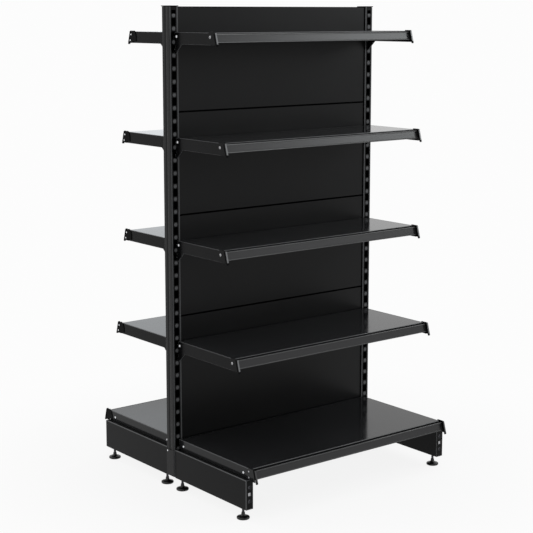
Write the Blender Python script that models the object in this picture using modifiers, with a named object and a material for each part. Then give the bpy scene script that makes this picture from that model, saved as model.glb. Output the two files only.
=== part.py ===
"""Double-sided gondola shelving bay in black powder-coated steel.

Two slotted posts stand on four base legs with levelling feet. Sheet panels hang
between the posts, one skin to each side. Each side has a base deck and four
upper shelves, and every shelf hooks into the post slots by two end brackets.
"""
from math import cos, pi, sin

import bmesh
import bpy
from mathutils import Matrix

# Units are metres. X runs along the bay, -Y is the front side, Z is up, and the floor is Z = 0.
GAP = 0.0003

BAY = 1.000
HEIGHT = 1.900

POST_W = 0.040
POST_D = 0.050
POST_WALL = 0.002
POST_BOTTOM = 0.048
GROOVE_W = 0.014
GROOVE_DEPTH = 0.0025
SHOE_H = 0.108
SHOE_T = 0.0015

CAP_T = 0.0032
CAP_OVERHANG = 0.0020
CAP_PLUG_H = 0.012

SLOT_W = 0.019
SLOT_H = 0.029
SLOT_PITCH = 0.050
BOTTOM_SLOT_RISE = 0.040
TOP_SLOT_DROP = 0.062
STUB_SLOT_H = 0.014
STUB_SLOT_DROP = 0.024

PANEL_T = 0.0012
PANEL_FOLD = 0.015
PANEL_SETBACK = 0.005
PANEL_H = 0.400
PANEL_COUNT = 4
PANEL_TUCK = 0.008
SEAM = 0.0025
TAB_REACH = 0.014
TAB_T = 0.003

LEG_W = 0.034
LEG_H = 0.116
LEG_WALL = 0.002
LEG_TOP = 0.161
LEG_HOOKS = 2
NUT_PLATE_Z = 0.063
NUT_PLATE_L = 0.044
TOE_HOLE_R = 0.0075
TOE_HOLE_SPREAD = 0.0270
TOE_WINDOW = 0.013

FOOT_R = 0.025
FOOT_NECK_R = 0.0072
FOOT_H = 0.027
FOOT_STEM_R = 0.005
FOOT_STEM_TOP = 0.099
HEEL_FOOT_Y = 0.028
TOE_FOOT_INSET = 0.040

DECK_TOP = 0.201
DECK_DEPTH = 0.465
DECK_T = 0.0015

SHELF_T = 0.0012
SHELF_FLANGE = 0.032
SHELF_DEPTHS = (0.360, 0.291, 0.291, 0.234)
SHELF_SLOTS_FROM_TOP = 1
SHELF_STEP = 8
SHELF_RISE = 0.012
SHELF_REAR_CLEAR = 0.0008
RIB_W = 0.060
RIB_H = 0.012
RIB_T = 0.0012

BRACKET_T = 0.003
BRACKET_INSET = 0.0045
BRACKET_SIDE = BAY / 2 - BRACKET_INSET
BRACKET_H = 0.045
BRACKET_TOE = 0.005
BRACKET_CORNER_R = 0.008
GUSSET_H = 0.084
GUSSET_RUN = 0.047
HOOK_NECK = 0.012
HOOK_DROP = 0.010
HOOK_T = 0.004

STRIP_STANDOFF = 0.010
STRIP_LEAN = 0.009
STRIP_DROP = 0.004
STRIP_H = 0.032
STRIP_T = 0.0018
STRIP_LIP = 0.003
STRIP_LIP_T = 0.0036
LAP_T = 0.0022
STRIP_SIDE = BRACKET_SIDE + GAP + LAP_T
LAP_BACK = 0.019
LAP_CLEAR = 0.0012
LAP_TOE_H = 0.045
LAP_RAKE = 0.006
END_W = 0.008
END_RISE = 0.003
END_H = 0.050
END_PROUD = 0.012
END_T = 0.006
END_SLIT = 0.003
END_CHAMFER = 0.003
WEB_T = 0.004

FOOT_SEGMENTS = 18
HOLE_SEGMENTS = 14
CORNER_STEPS = 3

BLACK = (0.014, 0.014, 0.015)
PANEL_BLACK = (0.013, 0.013, 0.014)
STRIP_GREY = (0.035, 0.035, 0.037)
PLASTIC_BLACK = (0.008, 0.008, 0.008)


def fresh_scene():
    """Empty the scene and give the parts and the joint empties their own collections."""
    for obj in list(bpy.data.objects):
        bpy.data.objects.remove(obj, do_unlink=True)
    parts = bpy.data.collections.new("gondola_shelving")
    guides = bpy.data.collections.new("gondola_guides")
    bpy.context.scene.collection.children.link(parts)
    bpy.context.scene.collection.children.link(guides)
    return parts, guides


PARTS, GUIDES = fresh_scene()


def paint(name, color, roughness, metallic):
    """A Principled material."""
    material = bpy.data.materials.new(name)
    material.use_nodes = True
    shader = material.node_tree.nodes["Principled BSDF"]
    shader.inputs["Base Color"].default_value = (*color, 1.0)
    shader.inputs["Roughness"].default_value = roughness
    shader.inputs["Metallic"].default_value = metallic
    material.diffuse_color = (*color, 1.0)
    return material


def temporary(mesh):
    """An object that only lives while a mesh is being made."""
    obj = bpy.data.objects.new(mesh.name, mesh)
    GUIDES.objects.link(obj)
    return obj


def baked(obj, name):
    """The evaluated mesh of a temporary object, which is then removed."""
    bpy.context.view_layer.update()
    evaluated = obj.evaluated_get(bpy.context.evaluated_depsgraph_get())
    mesh = bpy.data.meshes.new_from_object(evaluated)
    mesh.name = name
    bpy.data.objects.remove(obj, do_unlink=True)
    return mesh


def box(name, low, high):
    """A solid block between two corners."""
    bm = bmesh.new()
    add_block(bm, low, high)
    mesh = bpy.data.meshes.new(name)
    bm.to_mesh(mesh)
    bm.free()
    return mesh


def add_block(bm, low, high):
    """Add a block between two corners to an open bmesh."""
    size = [b - a for a, b in zip(low, high)]
    middle = [(a + b) / 2 for a, b in zip(low, high)]
    matrix = Matrix.Translation(middle) @ Matrix.Diagonal((*size, 1.0))
    bmesh.ops.create_cube(bm, size=1.0, matrix=matrix)


def folded(name, low, high, open_sides, thickness):
    """Sheet folded along a block's edges, with the named sides of the block left open."""
    bm = bmesh.new()
    add_block(bm, low, high)
    bm.normal_update()
    doomed = []
    for face in bm.faces:
        for axis, sign in open_sides:
            if face.normal[axis] * sign > 0.5:
                doomed.append(face)
    bmesh.ops.delete(bm, geom=doomed, context="FACES")
    mesh = bpy.data.meshes.new(name)
    bm.to_mesh(mesh)
    bm.free()
    obj = temporary(mesh)
    solidify = obj.modifiers.new("sheet", "SOLIDIFY")
    solidify.thickness = thickness
    solidify.offset = -1.0
    solidify.use_even_offset = True
    return baked(obj, name)


def plate(name, outlines, thickness):
    """A flat plate cut to one or more outlines, centred on its own plane."""
    curve = bpy.data.curves.new(name, "CURVE")
    curve.dimensions = "2D"
    curve.fill_mode = "BOTH"
    curve.extrude = thickness / 2
    for outline in outlines:
        spline = curve.splines.new("POLY")
        spline.points.add(len(outline) - 1)
        spline.use_cyclic_u = True
        for point, (u, v) in zip(spline.points, outline):
            point.co = (u, v, 0.0, 1.0)
    mesh = baked(temporary(curve), name)
    bpy.data.curves.remove(curve)
    bm = bmesh.new()
    bm.from_mesh(mesh)
    bmesh.ops.remove_doubles(bm, verts=bm.verts, dist=0.00001)
    bmesh.ops.recalc_face_normals(bm, faces=bm.faces)
    bm.to_mesh(mesh)
    bm.free()
    return mesh


def side_plate(name, outline, thickness, x=0.0):
    """A plate standing in the YZ plane, its outline given as distance forward and height."""
    mesh = plate(name, [outline], thickness)
    forward = Matrix(((0, 0, -1, x), (-1, 0, 0, 0), (0, 1, 0, 0), (0, 0, 0, 1)))
    mesh.transform(forward)
    return mesh


def rod(name, radius, low, high, x, y, segments):
    """An upright round bar, used for drilled holes."""
    bm = bmesh.new()
    bmesh.ops.create_cone(
        bm,
        cap_ends=True,
        segments=segments,
        radius1=radius,
        radius2=radius,
        depth=high - low,
        matrix=Matrix.Translation((x, y, (low + high) / 2)),
    )
    mesh = bpy.data.meshes.new(name)
    bm.to_mesh(mesh)
    bm.free()
    return mesh


def combined(mesh, others, operation):
    """One mesh joined to, or cut by, the others in turn."""
    name = mesh.name
    obj = temporary(mesh)
    tools = []
    for other in others:
        tool = temporary(other)
        modifier = obj.modifiers.new(other.name, "BOOLEAN")
        modifier.operation = operation
        modifier.object = tool
        tools.append(tool)
    result = baked(obj, name)
    for tool in tools:
        bpy.data.objects.remove(tool, do_unlink=True)
    return result


def guide(name, parent, location=(0.0, 0.0, 0.0), turn=0.0):
    """An empty that carries a group of pieces."""
    empty = bpy.data.objects.new(name, None)
    empty.location = location
    empty.rotation_euler = (0.0, 0.0, turn)
    empty.parent = parent
    GUIDES.objects.link(empty)
    return empty


def place(name, mesh, material, parent, location=(0.0, 0.0, 0.0), turn=0.0):
    """One named piece of the shelving."""
    if not mesh.materials:
        mesh.materials.append(material)
    obj = bpy.data.objects.new(name, mesh)
    obj.location = location
    obj.rotation_euler = (0.0, 0.0, turn)
    obj.parent = parent
    PARTS.objects.link(obj)
    return obj


def slot_z(index):
    """Height of the middle of a full slot, counted from the bottom."""
    return POST_BOTTOM + BOTTOM_SLOT_RISE + SLOT_PITCH * index


def slot_count():
    """How many full slots fit in a post."""
    room = HEIGHT - TOP_SLOT_DROP - slot_z(0)
    return int(room / SLOT_PITCH + 0.01) + 1


def panel_top(index):
    """Height of the top fold of a back panel, counted from the top."""
    return HEIGHT - CAP_T - GAP - PANEL_H * index


def bottom_panel_h():
    """Height of the lowest back panel, which ends just below the top of the deck."""
    return panel_top(PANEL_COUNT - 1) - DECK_TOP + PANEL_TUCK


def post_mesh():
    """Left post: a grooved tube slotted front and rear, with panel tabs inside and a shoe outside."""
    half_w = POST_W / 2
    half_d = POST_D / 2
    top = HEIGHT - CAP_T - GAP
    section = []
    for inset in (0.0, POST_WALL):
        w = half_w - inset
        d = half_d - inset
        groove_x = -half_w + inset
        section.append([
            (-w, -d),
            (w, -d),
            (w, d),
            (-w, d),
            (groove_x, GROOVE_W / 2),
            (groove_x + GROOVE_DEPTH, 0.0),
            (groove_x, -GROOVE_W / 2),
        ])
    tube = plate("post", section, top - POST_BOTTOM)
    tube.transform(Matrix.Translation((0.0, 0.0, (top + POST_BOTTOM) / 2)))

    bm = bmesh.new()
    reach = POST_D
    for index in range(slot_count()):
        z = slot_z(index)
        add_block(bm, (-SLOT_W / 2, -reach, z - SLOT_H / 2), (SLOT_W / 2, reach, z + SLOT_H / 2))
    z = HEIGHT - STUB_SLOT_DROP
    add_block(
        bm,
        (-SLOT_W / 2, -reach, z - STUB_SLOT_H / 2),
        (SLOT_W / 2, reach, z + STUB_SLOT_H / 2),
    )
    slots = bpy.data.meshes.new("slots")
    bm.to_mesh(slots)
    bm.free()
    tube = combined(tube, [slots], "DIFFERENCE")

    additions = []
    tab_y = half_d - PANEL_SETBACK - 2 * PANEL_T
    for index in range(PANEL_COUNT):
        z = panel_top(index) - PANEL_T - GAP
        additions.append(box(
            "tab",
            (half_w - POST_WALL / 2, -tab_y, z - TAB_T),
            (half_w + TAB_REACH, tab_y, z),
        ))
    shoe_y = half_d - POST_WALL / 2
    additions.append(box(
        "shoe",
        (-half_w - SHOE_T, -shoe_y, POST_BOTTOM + 0.001),
        (-half_w + POST_WALL / 4, shoe_y, POST_BOTTOM + SHOE_H),
    ))
    return combined(tube, additions, "UNION")


def cap_mesh():
    """Left post cap: a thin lid with a plug that drops into the tube."""
    half_w = POST_W / 2 + CAP_OVERHANG
    half_d = POST_D / 2 + CAP_OVERHANG
    lid = box("post_cap", (-half_w, -half_d, HEIGHT - CAP_T), (half_w, half_d, HEIGHT))
    inner_w = POST_W / 2 - POST_WALL - GAP
    inner_d = POST_D / 2 - POST_WALL - GAP
    plug = box(
        "plug",
        (-inner_w + GROOVE_DEPTH + GAP, -inner_d, HEIGHT - CAP_T - CAP_PLUG_H),
        (inner_w, inner_d, HEIGHT - CAP_T / 2),
    )
    return combined(lid, [plug], "UNION")


def panel_mesh(height):
    """A back panel with its top edge at zero, folded back along its top and bottom."""
    half = BAY / 2 - POST_W / 2 - GAP
    face_y = -POST_D / 2 + PANEL_SETBACK
    return folded(
        "panel",
        (-half, face_y, SEAM - height),
        (half, face_y + PANEL_FOLD, 0.0),
        ((1, 1), (0, -1), (0, 1)),
        PANEL_T,
    )


def hook_outline(slot_middle, rear_edge):
    """Rear-edge points of one hook, from its underside up, for a plate that stands in a slot."""
    seat = slot_middle - SLOT_H / 2 + GAP
    wall_back = -POST_WALL - GAP
    return [
        (rear_edge, seat),
        (wall_back, seat),
        (wall_back, seat - HOOK_DROP),
        (wall_back - HOOK_T, seat - HOOK_DROP),
        (wall_back - HOOK_T, seat + HOOK_NECK),
        (rear_edge, seat + HOOK_NECK),
    ]


def leaned(reach, height):
    """A point in front of the shelf edge, moved forward as the ticket strip's lean asks."""
    return (reach - height * STRIP_LEAN / STRIP_H, height)


def bracket_mesh(depth):
    """A shelf bracket, measured from the post face and from the shelf's top."""
    rear = SHELF_REAR_CLEAR
    toe = depth + BRACKET_TOE
    upper_slot = -SHELF_RISE
    outline = [(rear, 0.0)]
    for step in range(CORNER_STEPS + 1):
        angle = step * pi / 2 / CORNER_STEPS
        reach = toe - BRACKET_CORNER_R * (1 - sin(angle))
        outline.append(leaned(reach, -BRACKET_CORNER_R * (1 - cos(angle))))
    outline += [
        leaned(toe, -BRACKET_H),
        (GUSSET_RUN, -BRACKET_H),
        (rear + BRACKET_T, -GUSSET_H),
        (rear, -GUSSET_H),
    ]
    outline += hook_outline(upper_slot - SLOT_PITCH, rear)
    outline += hook_outline(upper_slot, rear)
    return side_plate("bracket", outline, BRACKET_T)


def tray_mesh(name, half_width, depth, flange, thickness, rib_count):
    """A shelf pan with all four edges turned down and pressed ribs under its top sheet."""
    pan = folded(
        name,
        (-half_width, -depth, -flange),
        (half_width, -SHELF_REAR_CLEAR, 0.0),
        ((2, -1),),
        thickness,
    )
    ribs = []
    for index in range(rib_count):
        y = -depth * (index + 1) / (rib_count + 1)
        ribs.append(folded(
            "rib",
            (-half_width + 2 * RIB_H, y - RIB_W / 2, -thickness - RIB_H),
            (half_width - 2 * RIB_H, y + RIB_W / 2, -thickness / 2),
            ((2, 1), (0, -1), (0, 1)),
            RIB_T,
        ))
    return combined(pan, ribs, "UNION")


def strip_mesh():
    """A ticket strip with its two ends, measured from the shelf's front edge and top."""
    top = -STRIP_DROP
    bottom = top - STRIP_H
    recess = STRIP_STANDOFF + STRIP_T
    front = recess + STRIP_LIP
    profile = [
        leaned(STRIP_STANDOFF, top),
        leaned(STRIP_STANDOFF, bottom),
        leaned(front, bottom),
        leaned(front, bottom + STRIP_LIP_T),
        leaned(recess, bottom + STRIP_LIP_T),
        leaned(recess, top - STRIP_LIP_T),
        leaned(front, top - STRIP_LIP_T),
        leaned(front, top),
    ]
    bar = side_plate("ticket_strip", profile, 2 * STRIP_SIDE - END_W)
    ends = []
    for sign in (-1, 1):
        ends += strip_end(sign, front + END_PROUD)
    return combined(bar, ends, "UNION")


def strip_end(sign, front):
    """The end block of a ticket strip, its web, and the plate that laps the side of the shelf."""
    back = front - END_T
    block = [
        leaned(back, END_RISE),
        leaned(front - END_CHAMFER, END_RISE),
        leaned(front, END_RISE - END_CHAMFER),
        leaned(front, END_CHAMFER - END_H),
        leaned(front - END_CHAMFER, -END_H),
        leaned(back, -END_H),
    ]
    lap_front = back - END_SLIT
    lap_bottom = LEG_TOP - DECK_TOP + LAP_CLEAR
    lap = [
        (LAP_RAKE - LAP_BACK, 0.0),
        (LAP_RAKE - LAP_BACK + END_CHAMFER, END_RISE),
        leaned(lap_front, END_RISE),
        leaned(lap_front, -LAP_TOE_H),
        (LAP_CLEAR, -LAP_TOE_H),
        (LAP_CLEAR, lap_bottom),
        (-LAP_BACK, lap_bottom),
        (-LAP_BACK, lap_bottom / 2),
    ]
    stop = BRACKET_TOE + GAP
    turned_in = [
        leaned(stop, END_RISE),
        leaned(stop + LAP_T, END_RISE),
        leaned(stop + LAP_T, -LAP_TOE_H),
        leaned(stop, -LAP_TOE_H),
    ]
    web_bottom = -STRIP_DROP - STRIP_H
    web = [
        leaned(stop + LAP_T / 2, -STRIP_DROP),
        leaned(back + END_T / 2, -STRIP_DROP),
        leaned(back + END_T / 2, web_bottom),
        leaned(stop + LAP_T / 2, web_bottom),
    ]
    inner = STRIP_SIDE - END_W
    return [
        side_plate("end_block", block, END_W, sign * (STRIP_SIDE - END_W / 2)),
        side_plate("end_stop", turned_in, END_W, sign * (STRIP_SIDE - END_W / 2)),
        side_plate("end_lap", lap, LAP_T, sign * (STRIP_SIDE - LAP_T / 2)),
        side_plate("end_web", web, WEB_T, sign * (inner + WEB_T / 2 + GAP)),
    ]


def leg_mesh(length):
    """A base leg: an inverted channel with closed ends, hooks, nut plates and a pierced toe."""
    half = LEG_W / 2
    leg = folded(
        "leg",
        (-half, -length, LEG_TOP - LEG_H),
        (half, -GAP, LEG_TOP),
        ((2, -1),),
        LEG_WALL,
    )
    root = GAP + LEG_WALL / 2
    additions = []
    for index in range(LEG_HOOKS):
        additions.append(side_plate("leg_hook", hook_outline(slot_z(index), root), BRACKET_T))
    bores = []
    for y in foot_places(length):
        additions.append(box(
            "nut_plate",
            (-half + LEG_WALL / 2, y - NUT_PLATE_L / 2, NUT_PLATE_Z),
            (half - LEG_WALL / 2, y + NUT_PLATE_L / 2, NUT_PLATE_Z + TAB_T),
        ))
        bores.append(rod(
            "nut_bore",
            FOOT_STEM_R + GAP,
            NUT_PLATE_Z - TAB_T,
            NUT_PLATE_Z + 2 * TAB_T,
            0.0,
            y,
            FOOT_SEGMENTS,
        ))
    leg = combined(leg, additions, "UNION")

    middle = LEG_TOP - LEG_H * 0.49
    for sign in (-1, 1):
        hole = rod("toe_hole", TOE_HOLE_R, -LEG_W / 2, LEG_W / 2, 0.0, 0.0, HOLE_SEGMENTS)
        place_hole = Matrix.Translation((0.0, -length, middle + sign * TOE_HOLE_SPREAD))
        hole.transform(place_hole @ Matrix.Rotation(pi / 2, 4, "X"))
        bores.append(hole)
    bores.append(box(
        "toe_window",
        (-TOE_WINDOW / 2, -length - LEG_W / 2, middle - TOE_WINDOW / 2),
        (TOE_WINDOW / 2, -length + LEG_W / 2, middle + TOE_WINDOW / 2),
    ))
    return combined(leg, bores, "DIFFERENCE")


def foot_places(length):
    """Distances of the heel foot and the toe foot in front of the post face, as Y."""
    return (-HEEL_FOOT_Y, TOE_FOOT_INSET - length)


def foot_mesh():
    """A levelling foot: a round pad with a conical neck and a threaded stem, turned about Z."""
    profile = [
        (0.0, FOOT_STEM_TOP),
        (FOOT_STEM_R - 0.001, FOOT_STEM_TOP),
        (FOOT_STEM_R, FOOT_STEM_TOP - 0.001),
        (FOOT_STEM_R, FOOT_H),
        (FOOT_NECK_R, FOOT_H),
        (FOOT_NECK_R + 0.0015, FOOT_H * 0.60),
        (FOOT_R * 0.72, FOOT_H * 0.42),
        (FOOT_R - 0.001, FOOT_H * 0.34),
        (FOOT_R, FOOT_H * 0.20),
        (FOOT_R - 0.0015, 0.0),
        (0.0, 0.0),
    ]
    bm = bmesh.new()
    verts = [bm.verts.new((r, 0.0, z)) for r, z in profile]
    for a, b in zip(verts, verts[1:]):
        bm.edges.new((a, b))
    mesh = bpy.data.meshes.new("foot_profile")
    bm.to_mesh(mesh)
    bm.free()
    obj = temporary(mesh)
    screw = obj.modifiers.new("turned", "SCREW")
    screw.steps = FOOT_SEGMENTS
    screw.render_steps = FOOT_SEGMENTS
    screw.use_merge_vertices = True
    screw.merge_threshold = 0.0001
    result = baked(obj, "foot")
    result.shade_smooth()
    result.set_sharp_from_angle(angle=pi / 5)
    return result


def build():
    """Make each shape once and set out the whole bay."""
    black = paint("black_powder_coat", BLACK, 0.42, 0.0)
    panel_black = paint("black_panel_coat", PANEL_BLACK, 0.46, 0.0)
    strip_grey = paint("ticket_strip_coat", STRIP_GREY, 0.38, 0.0)
    plastic = paint("black_plastic", PLASTIC_BLACK, 0.50, 0.0)

    bay = guide("bay", None)
    post = post_mesh()
    cap = cap_mesh()
    for name, x, turn in (("left", -BAY / 2, 0.0), ("right", BAY / 2, pi)):
        place(name + "_post", post, black, bay, (x, 0.0, 0.0), turn)
        place(name + "_post_cap", cap, plastic, bay, (x, 0.0, 0.0), turn)

    panel = panel_mesh(PANEL_H)
    bottom_panel = panel_mesh(bottom_panel_h())
    leg = leg_mesh(DECK_DEPTH)
    foot = foot_mesh()
    deck_flange = DECK_TOP - LEG_TOP - GAP
    deck = tray_mesh("deck", BRACKET_SIDE, DECK_DEPTH, deck_flange, DECK_T, 2)
    strip = strip_mesh()
    trays = {}
    brackets = {}
    tray_half = BRACKET_SIDE - BRACKET_T - GAP
    for depth in SHELF_DEPTHS:
        if depth not in trays:
            trays[depth] = tray_mesh("tray", tray_half, depth, SHELF_FLANGE, SHELF_T, 1)
            brackets[depth] = bracket_mesh(depth)

    for side, turn in (("front", 0.0), ("rear", pi)):
        frame = guide(side + "_side", bay, (0.0, 0.0, 0.0), turn)
        face = guide(side + "_post_face", frame, (0.0, -POST_D / 2, 0.0))
        for index in range(PANEL_COUNT):
            mesh = bottom_panel if index == PANEL_COUNT - 1 else panel
            name = f"{side}_panel_{PANEL_COUNT - index}"
            place(name, mesh, panel_black, frame, (0.0, 0.0, panel_top(index)))
        for hand, sign in (("left", -1), ("right", 1)):
            x = sign * BAY / 2
            place(f"{side}_{hand}_leg", leg, black, face, (x, 0.0, 0.0))
            for end, y in zip(("heel", "toe"), foot_places(DECK_DEPTH)):
                axis = guide(f"{side}_{hand}_{end}_thread", face, (x, y, 0.0))
                place(f"{side}_{hand}_{end}_foot", foot, plastic, axis)

        lift = guide(side + "_deck_lift", face, (0.0, 0.0, DECK_TOP))
        place(side + "_deck", deck, black, lift)
        place(side + "_deck_ticket_strip", strip, strip_grey, lift, (0.0, -DECK_DEPTH, 0.0))

        top_slot = slot_count() - 1 - SHELF_SLOTS_FROM_TOP
        levels = len(SHELF_DEPTHS)
        for level, depth in enumerate(SHELF_DEPTHS):
            slot = top_slot - SHELF_STEP * (levels - 1 - level)
            z = slot_z(slot) + SHELF_RISE
            lift = guide(f"{side}_shelf_{level + 1}_lift", face, (0.0, 0.0, z))
            place(f"{side}_tray_{level + 1}", trays[depth], black, lift)
            for hand, sign in (("left", -1), ("right", 1)):
                x = sign * (BRACKET_SIDE - BRACKET_T / 2)
                place(f"{side}_bracket_{level + 1}_{hand}", brackets[depth], black, lift, (x, 0.0, 0.0))
            place(f"{side}_ticket_strip_{level + 1}", strip, strip_grey, lift, (0.0, -depth, 0.0))


build()
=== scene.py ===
"""Finished look of a double-sided gondola shelving bay in black powder-coated steel.

Every CAD piece is copied, cleaned and given rounded folds and a coat of its own. Bolts,
rivets and foot threads are grown by geometry nodes. A pale studio and the camera follow.
"""
from math import pi, radians

import bmesh
import bpy
from mathutils import Euler, Matrix, Vector
from mathutils.geometry import intersect_point_line


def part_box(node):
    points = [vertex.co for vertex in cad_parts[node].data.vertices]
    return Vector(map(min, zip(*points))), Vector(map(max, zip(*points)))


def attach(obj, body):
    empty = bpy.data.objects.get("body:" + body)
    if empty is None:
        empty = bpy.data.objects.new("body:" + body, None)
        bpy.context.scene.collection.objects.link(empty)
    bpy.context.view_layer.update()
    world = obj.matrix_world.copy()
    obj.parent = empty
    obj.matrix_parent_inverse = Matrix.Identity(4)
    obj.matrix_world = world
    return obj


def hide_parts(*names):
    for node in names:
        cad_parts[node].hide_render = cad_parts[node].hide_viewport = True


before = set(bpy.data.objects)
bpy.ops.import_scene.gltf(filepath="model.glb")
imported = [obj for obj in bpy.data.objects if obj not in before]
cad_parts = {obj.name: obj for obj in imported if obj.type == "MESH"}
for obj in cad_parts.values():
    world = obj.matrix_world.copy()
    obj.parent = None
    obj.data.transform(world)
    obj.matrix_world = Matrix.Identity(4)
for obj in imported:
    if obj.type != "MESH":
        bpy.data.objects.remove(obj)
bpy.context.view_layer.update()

# Bay layout. Units are metres, -Y is the front side of the bay.
SIDES = {"front": -1, "rear": 1}
HANDS = {"left": -1, "right": 1}
LEVELS = (1, 2, 3, 4)
PANELS = (1, 2, 3, 4)
FOOT_ENDS = ("heel", "toe")

# Sheet thickness and outer fold radius of the pieces. An inner fold gets the difference.
SHEETS = {
    "post": (0.0020, 0.0030),
    "panel": (0.0012, 0.0022),
    "leg": (0.0020, 0.0032),
    "deck": (0.0015, 0.0026),
    "tray": (0.0012, 0.0022),
    "bracket": (0.0012, 0.0016),
    "cap": (0.0006, 0.0012),
    "strip": (0.0012, 0.0012),
}

# Pieces whose folds get no pale fold coat, so no painted highlight, and pieces whose edges and folds are
# painted matt near-black as the shade in their seams.
NO_FOLD_HIGHLIGHT = ("cap",)
SEAM_SHADED = ("panel",)

# Cleaning of the CAD copies.
MERGE = 0.00002
FLAT_ANGLE = radians(0.5)
FOLD_ANGLE = radians(12)
TUBE_SKIN = 0.0018

# Rounding: its share of the room beside an edge, and the shortest inner fold in sheet thicknesses.
EDGE_SPOTS = (0.1, 0.5, 0.9)
EASE_SHARE = 0.30
INNER_FOLD_MIN = 3.0
FOLD_STEPS = 3
SMALL_EASE = 0.0003
FLAT_LEAD = 100

# Which way a face or an edge points, as a share of one axis.
STRAIGHT = 0.99999
SQUARE_ON = 0.9
HALF_TURNED = 0.5

# Slotted face of a post: its middle, its lowest slot, and where the painted highlight along its edges fades
# in.
POST_X = 0.500
FIRST_SLOT_Z = 0.088
SLOT_PITCH = 0.050
BOSS_R = 0.0096
EDGE_HIGHLIGHT_FROM = 0.0128
EDGE_HIGHLIGHT_TO = 0.0150

# Ticket strip, measured from the shelf's front edge and top.
STRIP_STANDOFF = 0.010
STRIP_LEAN = 0.009 / 0.032
STRIP_T = 0.0018
STRIP_TOP = -0.004
STRIP_BOTTOM = -0.036
STRIP_LIP_T = 0.0036
STRIP_END_X = 0.490
STRIP_END_PLAY = 0.0002
BLOCK_DEPTH = 0.014
BLOCK_NUB = 0.009
BLOCK_FRONT = 0.8
PLATE_OUTSIDE = 0.35
INSERT_END_X = 0.4865
INSERT_T = 0.0011
INSERT_PLAY = 0.0006
INSERT_CORNER = 0.0025
INSERT_CORNER_STEPS = 4

# Black web behind a ticket strip, closing its groove and standing for the shade in it, and black lip between
# a deck and the panel behind it, a dark sheet as painted shade.
WEB_DROP = 0.013
WEB_T = 0.0012
WEB_PLAY = 0.0001
LIP_DROP = 0.0030
LIP_PLAY = 0.0004
LIP_SHORT = 0.0015

# How the noise of a finish is shared out, and how far it spreads the roughness.
CLOUD_SHARE = 0.75
PEEL_SHARE = 0.70
COAT_GLOSS = (0.80, 1.20)
PLASTIC_GLOSS = (0.85, 1.15)
ZINC_GLOSS = (0.80, 1.30)

# Greys of the ticket strip and of its insert, and the pale grey painted on the fronts of its end blocks as a
# highlight.
STRIP_GREY = (0.026, 0.026, 0.027)
STRIP_PALE = (0.034, 0.034, 0.035)
INSERT_GREY = (0.011, 0.011, 0.012)
INSERT_PALE = (0.016, 0.016, 0.017)
END_HIGHLIGHT = (0.150, 0.153, 0.158)

# Fasteners: head radius, head height and depth of the hexagon socket.
BOLT = (0.0056, 0.0034, 0.0018)
RIVET = (0.0034, 0.0017, 0.0)
TOE_BOLT = (0.0066, 0.0040, 0.0020)

# Shape of a head from its middle outwards and down, as shares of its radius and height.
HEAD_RADII = (0.0, 0.42, 0.46, 0.62, 0.82, 0.95, 1.0, 1.0, 1.0, 0.5, 0.0)
HEAD_HEIGHTS = (0.98, 0.98, 1.0, 0.97, 0.82, 0.56, 0.26, 0.12, 0.0, 0.0, 0.0)
HEAD_STEPS = 24
SOCKET_FLOOR_END = 0.15
SOCKET_RIM_END = 0.25
HEXAGON_FLAT = 0.9069
SEAM_MERGE = 0.00001
HEAD_SHARP = radians(38)

# Places of the fasteners.
SHELF_BOLT_REAR = 0.012
SHELF_BOLT_DROP = 0.0165
LAP_BOLT_REACH = -0.0065
LAP_BOLT_DROP = 0.016
DECK_BOLT_REAR = 0.032
DECK_BOLT_FRONT = 0.043
DECK_BOLT_DROP = 0.0245
END_RIVET_REACH = 0.0125
END_RIVET_DROPS = (0.012, 0.035)
LAP_RIVET_BACK = 0.0075
LAP_RIVET_DROPS = (0.010, 0.0335)
SHOE_RIVET_Y = 0.017
SHOE_RIVET_DROP = 0.007
SHOE_H = 0.108

# Toe of a leg: the tab behind its square window, and the two bolts beside it.
TAB_SIZE = 0.0165
TAB_T = 0.0014
LEG_WALL = 0.0020
TOE_MIDDLE = 0.1042
TOE_BOLT_SPREAD = 0.0270
TOE_BOLT_SUNK = 0.0045

# Levelling foot: radius and height down its neck, at its rim and under its sole, then its stem.
FOOT_NECK = (
    (0.0, 0.0260),
    (0.0056, 0.0260),
    (0.0064, 0.0252),
    (0.0068, 0.0236),
    (0.0072, 0.0190),
    (0.0082, 0.0152),
    (0.0102, 0.0128),
    (0.0140, 0.0112),
    (0.0190, 0.0098),
    (0.0226, 0.0086),
    (0.0242, 0.0074),
    (0.0249, 0.0058),
)
FOOT_RIM_Z = 0.0040
FOOT_SOLE = ((0.0247, 0.0020), (0.0238, 0.0006), (0.0224, 0.0), (0.0, 0.0))
FOOT_STEPS = 40
FOOT_SHARP = radians(40)
STEM_FOOT = 0.0255
STEM_R = 0.005
THREAD_PITCH = 0.0018
THREAD_DEPTH = 0.0006
THREAD_STEPS = 20
ROWS_PER_TURN = 4

# Camera, at the photograph's viewing angle.
CAMERA_PLACE = (-3.457, -4.327, 1.872)
CAMERA_YAW = radians(38.36)
CAMERA_PITCH = radians(9.24)
CAMERA_SENSOR = 36.0
CAMERA_LENS = 92.0
CAMERA_SHIFT_Y = -0.06

# Brightness of the white surround as seen, and of the light that it gives.
SURROUND = 0.975
SURROUND_LIGHT = 0.62

# Floor: its tone, its reach, and how much of its own white shows near the bay and away from it.
FLOOR_TONE = (0.86, 0.86, 0.86, 1.0)
FLOOR_REACH = 30.0
NEAR_FLOOR = 0.5
FAR_FLOOR = 1.7
NEAR_WHITE = 0.90
FAR_WHITE = 1.0

# Tints of the softboxes.
WHITE = (1.0, 1.0, 1.0)
COOL = (0.95, 0.99, 1.0)
COLD = (0.80, 0.91, 1.0)

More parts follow.
